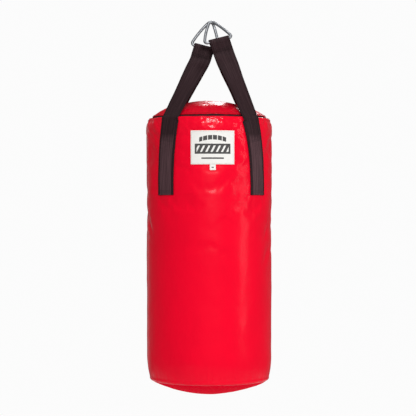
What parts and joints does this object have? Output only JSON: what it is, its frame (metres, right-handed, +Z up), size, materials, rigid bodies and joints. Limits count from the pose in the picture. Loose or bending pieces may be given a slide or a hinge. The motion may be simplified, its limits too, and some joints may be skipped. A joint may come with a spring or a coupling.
{
  "type": "heavy punching bag",
  "caption": "Filled red cylindrical heavy bag with a domed lid, a short zip at its back, and webbing straps looped over triangular steel rings.",
  "frame": {"origin": "bearing point of the hook, under the apexes of the two rings", "axes": "+Z up the hanging bag, -Y its front with the label, +X to its right as seen from the front"},
  "size_m": [0.3399, 0.3444, 1.0295],
  "materials": {
    "red_vinyl": "glossy coated cloth, lightly creased",
    "canvas": "plain weave",
    "foam": "soft foam",
    "textile_fill": "packed cloth scraps",
    "zip_cloth": "woven",
    "zip_plastic": "moulded",
    "zip_metal": "dark plated",
    "label_cloth": "smooth printed cloth",
    "pale_thread": "twisted",
    "dark_thread": "twisted",
    "webbing": "woven ribs, satin",
    "ring_steel": "zinc plated, satin"
  },
  "bodies": {
    "bag": {"side_shell": "red_vinyl", "bottom_panel": "red_vinyl", "top_lid": "red_vinyl", "canvas_liner": "canvas", "foam_wrap": "foam", "fill_core": "textile_fill", "zip_tape": "zip_cloth", "zip_chain": "zip_plastic", "zip_stops": "zip_metal", "label_patch": "label_cloth", "size_tab": "label_cloth", "label_stitching": "pale_thread", "lid_stitching": "dark_thread", "rim_stitching": "dark_thread", "back_seam_strip": "red_vinyl", "back_seam_stitching": "dark_thread", "strap_left": "webbing", "stitching_left_front": "dark_thread", "stitching_left_back": "dark_thread", "loop_stitching_left": "dark_thread", "strap_right": "webbing", "stitching_right_front": "dark_thread", "stitching_right_back": "dark_thread", "loop_stitching_right": "dark_thread"},
    "ring_left": {"ring_left": "ring_steel"},
    "ring_right": {"ring_right": "ring_steel"},
    "zip_slider": {"zip_slider": "zip_metal"},
    "zip_pull": {"zip_pull": "zip_metal"}
  },
  "joints": [
    {"name": "ring_left_hinge", "type": "hinge", "parent": "bag", "child": "ring_left", "pos_m": [-0.017, 0.0045, -0.06597], "axis": [0.9717, 0, -0.2361], "range_deg": [-125, 0]},
    {"name": "ring_right_hinge", "type": "hinge", "parent": "bag", "child": "ring_right", "pos_m": [0.0205, -0.0465, -0.0505], "axis": [0.9575, 0.1409, 0.2519], "range_deg": [0, 130]},
    {"name": "zip_slide", "type": "hinge", "parent": "bag", "child": "zip_slider", "pos_m": [-0.005, 0, -0.26], "axis": [0, 0, 1], "range_deg": [0, 42]},
    {"name": "pull_tip", "type": "hinge", "parent": "zip_slider", "child": "zip_pull", "pos_m": [0.06399, 0.14794, -0.25817], "axis": [0.2946, 0.6318, -0.7169], "range_deg": [0, 170]}
  ]
}
